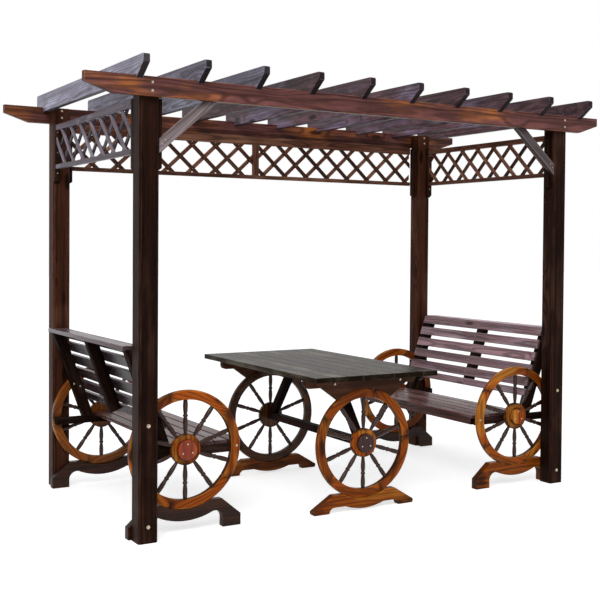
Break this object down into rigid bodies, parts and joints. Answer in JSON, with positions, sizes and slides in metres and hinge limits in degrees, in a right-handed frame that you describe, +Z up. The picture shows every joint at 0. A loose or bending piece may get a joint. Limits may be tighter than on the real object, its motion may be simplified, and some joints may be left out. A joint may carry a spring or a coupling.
{
  "type": "open wooden garden pavilion with benches and table",
  "caption": "Open timber pavilion with a rafter roof, lattice panels, two benches and a table on wagon wheels, for gardens and terraces.",
  "frame": {"origin": "on the ground, in the middle of the pavilion's bounding box", "axes": "+X along the beams, +Y from the open front to the lattice at the back, +Z up"},
  "size_m": [3.318, 1.76, 2.335],
  "materials": {
    "post_wood": "dark scorched timber under satin varnish",
    "beam_wood": "red-brown scorched timber under satin varnish",
    "rafter_wood": "brown timber under glossy varnish",
    "brace_wood": "grey-brown timber under satin varnish",
    "lattice_wood": "dark brown laths under satin varnish",
    "wheel_wood": "amber timber under glossy varnish",
    "spoke_wood": "turned timber under glossy varnish",
    "bench_wood": "plum-brown boards under glossy varnish",
    "table_wood": "grey-brown planks under glossy varnish"
  },
  "bodies": {
    "root": {"post_front_left": "post_wood", "post_front_right": "post_wood", "post_back_left": "post_wood", "post_back_right": "post_wood", "beam_front": "beam_wood", "beam_back": "beam_wood", "rafter_1": "rafter_wood", "rafter_2": "rafter_wood", "rafter_3": "rafter_wood", "rafter_4": "rafter_wood", "rafter_5": "rafter_wood", "rafter_6": "rafter_wood", "rafter_7": "rafter_wood", "rafter_8": "rafter_wood", "rafter_9": "rafter_wood", "rafter_10": "rafter_wood", "brace_left": "brace_wood", "brace_right": "brace_wood", "lattice_left": "lattice_wood", "lattice_right": "lattice_wood", "lattice_back": "lattice_wood", "lattice_cleats": "lattice_wood", "bench_left_feet": "wheel_wood", "bench_left_front_felloes": "wheel_wood", "bench_left_front_spokes": "spoke_wood", "bench_left_back_felloes": "wheel_wood", "bench_left_back_spokes": "spoke_wood", "bench_left_seat_frame": "bench_wood", "bench_left_seat": "bench_wood", "bench_left_uprights": "bench_wood", "bench_left_backrest": "bench_wood", "bench_right_feet": "wheel_wood", "bench_right_front_felloes": "wheel_wood", "bench_right_front_spokes": "spoke_wood", "bench_right_back_felloes": "wheel_wood", "bench_right_back_spokes": "spoke_wood", "bench_right_seat_frame": "bench_wood", "bench_right_seat": "bench_wood", "bench_right_uprights": "bench_wood", "bench_right_backrest": "bench_wood", "table_feet": "wheel_wood", "table_front_felloes": "wheel_wood", "table_front_spokes": "spoke_wood", "table_back_felloes": "wheel_wood", "table_back_spokes": "spoke_wood", "table_stretcher": "table_wood", "table_braces": "table_wood", "table_aprons": "table_wood", "table_top": "table_wood"}
  },
  "joints": []
}
